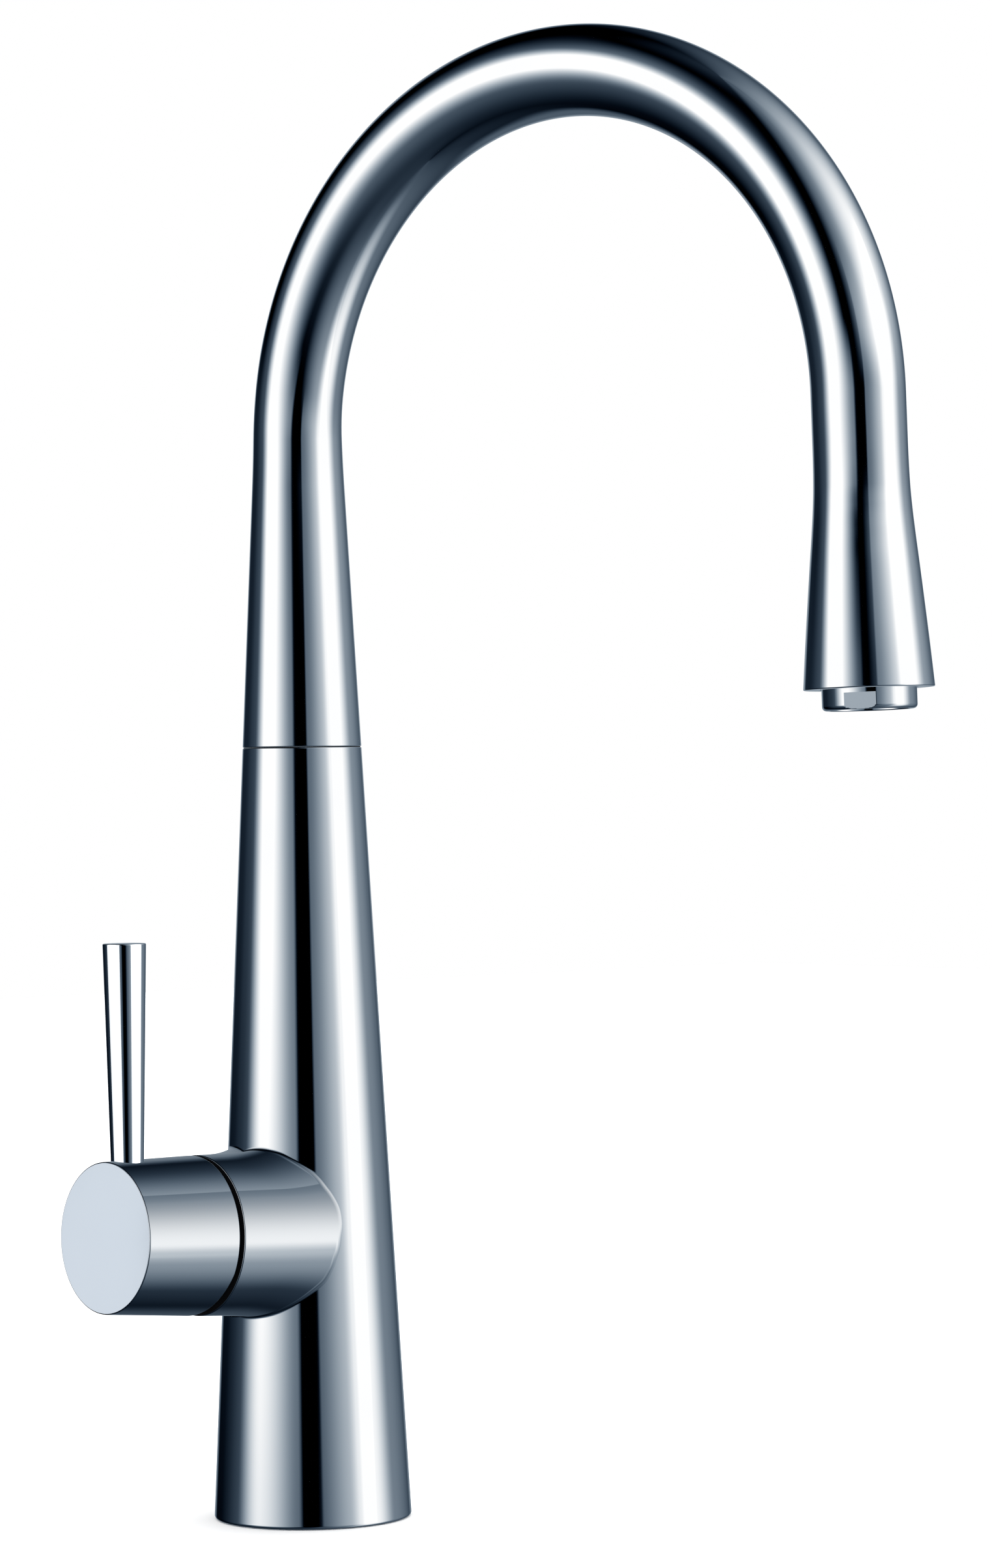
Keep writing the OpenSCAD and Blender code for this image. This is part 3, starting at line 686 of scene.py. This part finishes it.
ferrule = lathe("hose_crimp", [
    (3.5, 50, 0), (6.9, 50, 0.3), (6.9, 51, 0.2), (6.5, 51.4, 0.2), (6.5, 52, 0.2), (6.9, 52.4, 0.2),
    (6.9, 53, 0.2), (6.5, 53.4, 0.2), (6.5, 54, 0.2), (6.9, 54.4, 0.2), (6.9, 56, 0.5), (3.5, 56, 0),
    (3.5, 50, 0)], AT_MOUTH, 96)
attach(ferrule, "handset")
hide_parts("hose_ferrule")

HOSE_R = 5.75
# height above the mouth where the hose leaves its crimp
HOSE_START = 56.0
leg_rows = np.linspace(HOSE_START, LEG_LEN, 150)
leg_hose = swept_tube("hose_leg_cover", AT_MOUTH, leg_rows, 96, braid(1.4, 16, 0.14, HOSE_R))
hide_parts("hose_leg")
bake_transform(leg_hose)


def long_hose():
    """The hose from its tail under the deck, up the body and round the arch."""
    around = 96
    turn = full_turn(around)
    arch_len = REACH / 2 * (math.pi - LEAN)
    stations = np.concatenate([np.arange(-90, -1, 0.5), np.linspace(-1, SPRING_H, 60),
                               np.linspace(SPRING_H, SPRING_H + arch_len, 60)[1:]])
    centre, way, side, out = spout_path(stations)
    surface = braid(11.0, 16, 0.16, HOSE_R - 0.05)
    points = []
    for i, d in enumerate(stations):
        r = surface(turn, d) if d < -1 else np.full(around, HOSE_R - 0.05)
        ring = np.cos(turn)[:, None] * side[i] + np.sin(turn)[:, None] * out[i]
        points.append(centre[i] + r[:, None] * ring)
    faces = grid_faces(len(stations), around) + tube_ends(len(stations), around)
    points = np.concatenate(points)
    points, _ = moved(points, points, IN_SPOUT)
    return new_mesh("long_hose_cover", points, faces)


hose = long_hose()
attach(hose, "spout")
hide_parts("spray_hose")


# ---------------------------------------------------------------- deck fixing
def thread(depth, pitch, base, low_end, high_end):
    """Radius of a screw thread with a 60 degree profile, run out softly at both ends."""
    def radius(angle, height):
        phase = (height / pitch - angle / (2 * math.pi)) % 1.0
        crest = np.clip(1.25 - np.abs(2 * phase - 1) * 1.5, 0, 1)
        fade = np.clip(np.minimum(height - low_end, high_end - height) / pitch, 0, 1)
        return base - depth * crest * fade
    return radius


def shank_shell():
    """The threaded shank: a tube with a real helical thread outside and a plain bore."""
    around = 96
    turn = full_turn(around)
    rows = np.concatenate([[-70, -69.6], np.arange(-69.4, -0.2, 0.22), [0, 14]])
    cut = thread(0.85, 1.5, 17.0, -69.4, -0.4)
    points = []
    for z in rows:
        r = cut(turn, z) - (0.5 if z == -70 else 0)
        points.append(ring_at(r, z, turn))
    for r, z in ((15.7, 14.0), (15.4, 13.7), (15.4, -69.7), (15.7, -70)):
        points.append(ring_at(r, z, turn))
    faces = grid_faces(len(points), around)
    last = (len(points) - 1) * around
    faces += [(last + j, last + (j + 1) % around, (j + 1) % around, j) for j in range(around)]
    return new_mesh("shank_shell", np.concatenate(points), faces)


shank = shank_shell()
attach(shank, "base")
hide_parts("mounting_shank")


def port_plate():
    """The body's underside inside the shank, with the hose hole and the three hose ports."""
    def circle(x, y, r, around):
        turn = full_turn(around)
        return np.stack([x + r * np.cos(turn), y + r * np.sin(turn)], -1)

    back = math.sqrt(11.4 ** 2 - 8.1 ** 2)
    loops = [circle(0, 0, 15.39, 96), circle(0, 0, 7, 64)]
    ports = ((-back, 8.1), (-back, -8.1), (-11.4, 0))
    loops += [circle(x, y, 3.46 + 0.35, 48) for x, y in ports]
    flat = [[Vector((x, y, 0)) for x, y in loop] for loop in loops]
    triangles = tessellate_polygon(flat)
    points = [(p[0], p[1], 14.0) for loop in loops for p in loop]
    faces = [tuple(t) for t in triangles]
    start = len(loops[0]) + len(loops[1])
    for x, y in ports:
        previous = start
        for radius, z in ((3.46, 14.35), (3.46, 24), (3.0, 24), (3.0, 40)):
            at = len(points)
            points += [(px, py, z) for px, py in circle(x, y, radius, 48)]
            faces += [(previous + j, previous + (j + 1) % 48, at + (j + 1) % 48, at + j) for j in range(48)]
            previous = at
        faces.append(tuple(previous + j for j in range(48)))
        start += 48
    plate = new_mesh("port_plate", points, faces)
    work = bmesh.new()
    work.from_mesh(plate.data)
    bmesh.ops.recalc_face_normals(work, faces=work.faces)
    down = [f for f in work.faces if f.calc_center_median().z < 0.01401 and f.normal.z > 0]
    if down:
        bmesh.ops.reverse_faces(work, faces=work.faces)
    work.to_mesh(plate.data)
    work.free()
    plate.data.shade_flat()
    return plate


plate = port_plate()
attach(plate, "base")


# a black ring set into the gap between barrel and boss: painted shade that keeps the gap dark from every side
gap_shade = lathe("gap_shade_ring", [
    (13.4, BOSS_FACE - 0.28, 0), (19.3, BOSS_FACE - 0.28, 0.05), (19.3, BOSS_FACE - 0.05, 0.05),
    (15.2, BOSS_FACE - 0.05, 0.2), (15.2, BOSS_FACE + 3.2, 0.3), (13.4, BOSS_FACE + 3.2, 0.3),
    (13.4, BOSS_FACE - 0.28, 0)], ON_HANDLE, 96)
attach(gap_shade, "base")

# a black ring set into the seam between body and spout: painted shade that keeps the seam dark from every
# side
seam_r, seam_top = body_r(SEAM_H) - 0.3, SEAM_H + SEAM_GAP - 0.03
ring = lathe("seam_ring", [
    (15.9, SEAM_H + 0.03, 0), (seam_r, SEAM_H + 0.03, 0.02), (seam_r, seam_top, 0.02), (15.9, seam_top, 0),
    (15.9, SEAM_H + 0.03, 0)], Matrix.Identity(4), 128)
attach(ring, "base")


# ---------------------------------------------------------------- materials
def blank(name):
    mat = bpy.data.materials.new(name)
    mat.use_nodes = True
    tree = mat.node_tree
    shader = tree.nodes["Principled BSDF"]
    place = tree.nodes.new("ShaderNodeTexCoord").outputs["Object"]
    return mat, tree, shader, place


def noise(tree, place, scale, detail=3.0, stretch=None):
    if stretch is not None:
        mapping = tree.nodes.new("ShaderNodeMapping")
        mapping.inputs["Scale"].default_value = stretch
        tree.links.new(place, mapping.inputs["Vector"])
        place = mapping.outputs["Vector"]
    node = tree.nodes.new("ShaderNodeTexNoise")
    node.inputs["Scale"].default_value = scale
    node.inputs["Detail"].default_value = detail
    tree.links.new(place, node.inputs["Vector"])
    return node.outputs["Fac"]


def spread(tree, value, low_to, high_to, low=0.3, high=0.7):
    node = tree.nodes.new("ShaderNodeMapRange")
    node.inputs["From Min"].default_value = low
    node.inputs["From Max"].default_value = high
    node.inputs["To Min"].default_value = low_to
    node.inputs["To Max"].default_value = high_to
    tree.links.new(value, node.inputs["Value"])
    return node.outputs["Result"]


def shades(tree, value, colours, low=0.3, high=0.7):
    node = tree.nodes.new("ShaderNodeValToRGB")
    ramp = node.color_ramp
    for i, colour in enumerate(colours):
        at = low + (high - low) * i / (len(colours) - 1)
        stop = ramp.elements[i] if i < 2 else ramp.elements.new(at)
        stop.position = at
        stop.color = (*colour, 1)
    tree.links.new(value, node.inputs["Fac"])
    return node.outputs["Color"]


def bump(tree, shader, value, depth, strength=1.0):
    node = tree.nodes.new("ShaderNodeBump")
    node.inputs["Distance"].default_value = depth
    node.inputs["Strength"].default_value = strength
    tree.links.new(value, node.inputs["Height"])
    tree.links.new(node.outputs["Normal"], shader.inputs["Normal"])


def metal(name, colours, rough, grain=400.0, stretch=None, depth=0.0):
    """A metal whose colour and roughness vary a little with a fine grain."""
    mat, tree, shader, place = blank(name)
    shader.inputs["Metallic"].default_value = 1.0
    fine = noise(tree, place, grain, 4.0, stretch)
    tree.links.new(shades(tree, fine, colours), shader.inputs["Base Color"])
    tree.links.new(spread(tree, fine, *rough), shader.inputs["Roughness"])
    if depth:
        bump(tree, shader, fine, depth)
    return mat


def moulded(name, colours, rough, grain=900.0, depth=0.00002):
    """Rubber or plastic with the fine texture of its mould."""
    mat, tree, shader, place = blank(name)
    shader.inputs["Metallic"].default_value = 0.0
    cloud = noise(tree, place, 60.0, 4.0)
    fine = noise(tree, place, grain, 2.0)
    tree.links.new(shades(tree, cloud, colours), shader.inputs["Base Color"])
    tree.links.new(spread(tree, cloud, *rough), shader.inputs["Roughness"])
    bump(tree, shader, fine, depth)
    return mat


MATERIALS = {
    "polished_chrome": metal(
        "polished_chrome", [(0.925, 0.932, 0.94), (0.945, 0.948, 0.95)], (0.025, 0.05), 35.0),
    "brass": metal(
        "brass", [(0.66, 0.47, 0.2), (0.8, 0.6, 0.3)], (0.22, 0.36), 500.0, (1, 1, 6), 0.00001),
    "steel": metal(
        "steel", [(0.5, 0.51, 0.53), (0.66, 0.67, 0.69)], (0.2, 0.34), 500.0, (1, 1, 6), 0.00001),
    "black_rubber": moulded("black_rubber", [(0.02, 0.02, 0.021), (0.04, 0.04, 0.042)], (0.6, 0.8)),
    "white_plastic": moulded("white_plastic", [(0.8, 0.8, 0.77), (0.87, 0.87, 0.85)], (0.35, 0.5)),
    "black_plastic": moulded("black_plastic", [(0.03, 0.03, 0.033), (0.055, 0.055, 0.06)], (0.35, 0.5)),
    "grey_plastic": moulded("grey_plastic", [(0.44, 0.46, 0.48), (0.54, 0.56, 0.58)], (0.35, 0.5)),
    "disc_ceramic": moulded(
        "disc_ceramic", [(0.86, 0.85, 0.82), (0.92, 0.91, 0.89)], (0.08, 0.16), 400.0, 0.000002),
    "hose_cover": moulded(
        "hose_cover", [(0.12, 0.125, 0.135), (0.24, 0.25, 0.265)], (0.4, 0.6), 2500.0, 0.00004),
}

# painted shade on the handle's chrome: its base colour by how far its surface faces up, darker towards the
# top and the underside: (facing, brightness)
HANDLE_PAINTED_SHADE = [(-1.0, 0.3), (1.0, 0.3), (-0.6, 0.22), (-0.3, 0.33), (-0.15, 0.5), (-0.02, 0.82),
                 (0.1, 0.86), (0.22, 0.6), (0.36, 0.36), (0.6, 0.2)]

# a dim shade is made a little bluer by these powers of its brightness
RED_POWER = 1.15
BLUE_POWER = 0.87


def handle_chrome():
    """Polished chrome with painted shade: its base colour darkens towards the top and the underside of the
    lying barrel and boss.
    """
    mat, tree, shader, place = blank("handle_chrome")
    shader.inputs["Metallic"].default_value = 1.0
    facing = tree.nodes.new("ShaderNodeSeparateXYZ")
    tree.links.new(tree.nodes.new("ShaderNodeTexCoord").outputs["Normal"], facing.inputs[0])
    level = spread(tree, facing.outputs["Z"], 0.0, 1.0, -1.0, 1.0)
    node = tree.nodes.new("ShaderNodeValToRGB")
    ramp = node.color_ramp
    ramp.interpolation = "EASE"
    # each stop is a painted shade of the chrome's colour, set by how far the surface faces up
    for k, (up, shade) in enumerate(HANDLE_PAINTED_SHADE):
        stop = ramp.elements[k] if k < 2 else ramp.elements.new(0.5)
        stop.position = (up + 1) / 2
        stop.color = (shade ** RED_POWER, shade, shade ** BLUE_POWER, 1)
    tree.links.new(level, node.inputs["Fac"])
    tree.links.new(node.outputs["Color"], shader.inputs["Base Color"])
    fine = noise(tree, place, 35.0, 4.0)
    tree.links.new(spread(tree, fine, 0.05, 0.08), shader.inputs["Roughness"])
    return mat


cast = metal("raw_casting", [(0.6, 0.5, 0.36), (0.72, 0.66, 0.55)], (0.35, 0.55), 300.0, None, 0.00002)

MATERIALS["handle_chrome"] = handle_chrome()
# black paint that stands in for the shade in the gaps, on their walls and on the pieces set into them
MATERIALS["gap_black"] = moulded("gap_black", [(0.002, 0.002, 0.0025), (0.005, 0.005, 0.006)], (0.85, 0.95))
MATERIALS["gap_black"].node_tree.nodes["Principled BSDF"].inputs["Specular IOR Level"].default_value = 0.05
OWN = {body: "polished_chrome", spout: "polished_chrome", barrel: "handle_chrome", lever: "polished_chrome",
       collar: "polished_chrome", handset: "polished_chrome", ferrule: "steel", leg_hose: "hose_cover",
       hose: "hose_cover", shank: "brass", gap_shade: "gap_black", ring: "gap_black"}
for obj, name in OWN.items():
    obj.data.materials.append(MATERIALS[name])
plate.data.materials.append(cast)

# the boss gets the barrel's painted shade too
body.data.materials.append(MATERIALS["handle_chrome"])
for face in body.data.polygons:
    if min(face.vertices) >= BOSS_START:
        face.material_index = 1

# painted shade: the walls of the gap between barrel and boss are coloured black, as if in deep shadow
for obj, low, high in ((body, BOSS_FACE - 9, BOSS_FACE + 0.02), (barrel, BARREL_S - 0.5, BARREL_S + 1.5)):
    obj.data.materials.append(MATERIALS["gap_black"])
    for face in obj.data.polygons:
        at = face.center / MM - Vector((0, 0, HANDLE_H))
        s = at.dot(VALVE_AXIS)
        off_axis = (at - s * VALVE_AXIS).length
        flat = abs(face.normal.dot(VALVE_AXIS)) > 0.85 and off_axis < barrel_r(s) - 0.25
        if low < s < high and (flat or off_axis < 19.6):
            face.material_index = len(obj.data.materials) - 1

SLOT_OF = {part["node"]: part["material_slot"] for part in frame["record"]["subparts"]}
for name, obj in frame["nodes"].items():
    obj.data.materials.clear()
    obj.data.materials.append(MATERIALS[SLOT_OF[name]])

# the edges of the carried-over pieces that can be seen are broken with a small bevel
for name in ("mounting_nut", "deck_washer", "jack_screws", "hose_nut", "hose_tail_fitting", "aerator_insert"):
    edge = frame["nodes"][name].modifiers.new("edge", "BEVEL")
    edge.width = 0.0003 if name != "aerator_insert" else 0.00015
    edge.segments = 2
    edge.limit_method = "ANGLE"
    edge.angle_limit = math.radians(40)

# the chrome shows the studio only, so that the parts inside and under the deck stay out of it
for obj in [*frame["nodes"].values(), *OWN, plate]:
    obj.visible_glossy = False

# ---------------------------------------------------------------- floor
FLOOR_Z = -0.2
FLOOR_REACH = 3000.0
floor_rows = 25
steps = np.linspace(-FLOOR_REACH, FLOOR_REACH, floor_rows)
xx, yy = np.meshgrid(steps, steps, indexing="ij")
floor = new_mesh("floor", np.stack([xx, yy, np.full(xx.shape, FLOOR_Z)], -1).reshape(-1, 3),
                 grid_faces(floor_rows, floor_rows, False))
floor_mat, tree, shader, place = blank("floor_white")
tree.links.new(shades(tree, noise(tree, place, 8.0), [(0.93, 0.93, 0.93), (0.95, 0.95, 0.95)]),
               shader.inputs["Base Color"])
shader.inputs["Roughness"].default_value = 0.9
floor.data.materials.append(floor_mat)
floor.visible_glossy = False

# ---------------------------------------------------------------- studio light
# The polished metal shows the studio: soft panels round the object. Each is
# (left edge, its softness, right edge, its softness, bottom edge, its softness, top edge, its softness,
# brightness, slant), in degrees round the object from the side the camera stands on, and above the horizon.
# All but the last two came out of a least-squares fit to the brightness that the photo's chrome shows.
PANELS = [
    (58, 29, 95, 33, -49, 60, 26, 17, 0.792, -0.11),
    (66, 93, 101, 133, 19, 48, 65, 61, 1.613, -0.2),
    (32, 50, 81, 4, -3, 148, 34, 21, 0.722, 0.41),
    (-83, 38, -52, 70, 17, 96, 24, 39, 4.202, -0.34),
    (-92, 79, -49, 56, 14, 32, 22, 86, 0.902, -0.12),
    (-86, 104, -34, 47, -34, 70, 8, 14, 0.176, -0.01),
    (-191, 27, 191, 27, 95, 60, 100, 20, 0.062, -0.0),
    (-129, 187, 135, 180, -100, 20, -42, 69, 0.032, -0.79),
    (69, 90, 143, 78, -57, 113, 79, 73, 0.212, 0.12),
    (-220, 4, -116, 15, 23, 68, 5, 14, 0.176, 1.14),
    (14, 36, 65, 48, 14, 14, 47, 157, 0.372, -0.25),
    (-67, 53, -15, 6, 16, 62, 6, 20, 1.277, -0.35),
    (11, 4, 57, 4, -4, 14, 30, 18, 0.13, -0.23),
    (161, 16, 199, 16, -12, 18, 26, 18, 0.3, 0),
    (162, 18, 198, 18, -42, 24, -12, 18, 0.1, 0),
]
STUDIO_AZIMUTH = math.atan2(CAMERA_AT.y, CAMERA_AT.x)
METAL_LOSS = 0.94


def studio():
    world = bpy.data.worlds.new("studio")
    bpy.context.scene.world = world
    world.use_nodes = True
    world.cycles.sampling_method = "NONE"
    tree = world.node_tree
    tree.nodes.clear()

    def math_node(operation, *values):
        node = tree.nodes.new("ShaderNodeMath")
        node.operation = operation
        for i, value in enumerate(values):
            if isinstance(value, (int, float)):
                node.inputs[i].default_value = value
            else:
                tree.links.new(value, node.inputs[i])
        return node.outputs[0]

    def ramp(value, start, end, rising=True):
        node = tree.nodes.new("ShaderNodeMapRange")
        node.interpolation_type = "SMOOTHSTEP"
        node.inputs["From Min"].default_value = start
        node.inputs["From Max"].default_value = end
        node.inputs["To Min"].default_value = 0.0 if rising else 1.0
        node.inputs["To Max"].default_value = 1.0 if rising else 0.0
        tree.links.new(value, node.inputs["Value"])
        return node.outputs["Result"]

    direction = tree.nodes.new("ShaderNodeTexCoord").outputs["Generated"]
    split = tree.nodes.new("ShaderNodeSeparateXYZ")
    tree.links.new(direction, split.inputs[0])
    azimuth = math_node("ARCTAN2", split.outputs["Y"], split.outputs["X"])
    azimuth = math_node("MULTIPLY", azimuth, 180 / math.pi)
    azimuth = math_node("SUBTRACT", azimuth, math.degrees(STUDIO_AZIMUTH))
    height = math_node("ARCSINE", math_node("MINIMUM", math_node("MAXIMUM", split.outputs["Z"], -1.0), 1.0))
    height = math_node("MULTIPLY", height, 180 / math.pi)
    total = None
    for left, soft_left, right, soft_right, low, soft_low, high, soft_high, bright, slant in PANELS:
        half = (right - left) / 2
        across = math_node("SUBTRACT", azimuth, (left + right) / 2)
        across = math_node("SUBTRACT", across, math_node("MULTIPLY", height, slant))
        across = math_node("WRAP", across, 180.0, -180.0)
        light = math_node("MULTIPLY", ramp(across, -half - soft_left / 2, -half + soft_left / 2),
                          ramp(across, half - soft_right / 2, half + soft_right / 2, False))
        light = math_node("MULTIPLY", light, ramp(height, low - soft_low / 2, low + soft_low / 2))
        light = math_node("MULTIPLY", light, ramp(height, high - soft_high / 2, high + soft_high / 2, False))
        light = math_node("MULTIPLY", light, bright)
        total = light if total is None else math_node("ADD", total, light)
    total = math_node("MINIMUM", total, 1.0)
    colour = tree.nodes.new("ShaderNodeCombineColor")
    # the dimmer the panel, the bluer it is
    tree.links.new(math_node("POWER", total, RED_POWER), colour.inputs[0])
    tree.links.new(total, colour.inputs[1])
    tree.links.new(math_node("POWER", total, BLUE_POWER), colour.inputs[2])

    def background(strength, source=None):
        node = tree.nodes.new("ShaderNodeBackground")
        node.inputs["Strength"].default_value = strength
        node.inputs["Color"].default_value = (1, 1, 1, 1)
        if source is not None:
            tree.links.new(source, node.inputs["Color"])
        return node.outputs[0]

    def mix(factor, first, second):
        node = tree.nodes.new("ShaderNodeMixShader")
        tree.links.new(factor, node.inputs[0])
        tree.links.new(first, node.inputs[1])
        tree.links.new(second, node.inputs[2])
        return node.outputs[0]

    ray = tree.nodes.new("ShaderNodeLightPath")
    seen = mix(ray.outputs["Is Glossy Ray"], background(1.7), background(1 / METAL_LOSS, colour.outputs[0]))
    seen = mix(ray.outputs["Is Camera Ray"], seen, background(1.0))
    tree.links.new(seen, tree.nodes.new("ShaderNodeOutputWorld").inputs["Surface"])


studio()


def lit_card(name, width, height, power, colour, at, away, only):
    """A lit card that only one piece shows. Its lit side faces back along away."""
    data = bpy.data.lights.new(name, "AREA")
    data.shape = "RECTANGLE"
    data.size, data.size_y = width, height
    data.energy = power
    data.color = colour
    obj = bpy.data.objects.new(name, data)
    side = Vector((0, 0, 1)).cross(away).normalized()
    turn = Matrix((side, away.cross(side), away)).transposed().to_4x4()
    obj.matrix_world = Matrix.Translation(at) @ turn
    obj.visible_camera = False
    obj.visible_diffuse = False
    bpy.context.scene.collection.objects.link(obj)
    lit = bpy.data.collections.new(name)
    lit.objects.link(only)
    obj.light_linking.receiver_collection = lit


# distance of the lever's cards from the body axis, and their height above the deck, in metres
CARD_AWAY = 1.0
CARD_H = 0.2


def lever_card(name, left, right, radiance):
    """A tall card for the lever, between two bearings from the line to the camera."""
    middle, half = math.radians((left + right) / 2), math.radians((right - left) / 2)
    bearing = STUDIO_AZIMUTH + middle
    away = Vector((math.cos(bearing), math.sin(bearing), 0))
    width, height = 2 * CARD_AWAY * math.tan(half), 2 * CARD_AWAY
    power = radiance * math.pi * width * height
    at = away * CARD_AWAY + Vector((0, 0, CARD_H))
    lit_card(name, width, height, power, (1, 1, 1), at, away, lever)


lever_card("lever_card_left", -99, -26, 0.9)
lever_card("lever_card_right", 33, 103, 0.8)

# the small card that the barrel's flat end shows: width and height in metres, power, distance in mm
DISC_CARD_SIZE = (0.036, 0.062)
DISC_CARD_POWER = 0.0062
DISC_CARD_COLOUR = (0.89, 0.94, 1.0)
DISC_CARD_AWAY = 250


def disc_card():
    disc = Vector((0, 0, HANDLE_H)) + BARREL_END * VALVE_AXIS
    view_way = (disc - CAMERA_AT / MM).normalized()
    shown = view_way - 2 * view_way.dot(VALVE_AXIS) * VALVE_AXIS
    at = (disc + DISC_CARD_AWAY * shown) * MM
    lit_card("disc_card", *DISC_CARD_SIZE, DISC_CARD_POWER, DISC_CARD_COLOUR, at, shown, barrel)


disc_card()
bpy.context.scene.view_settings.view_transform = "Standard"
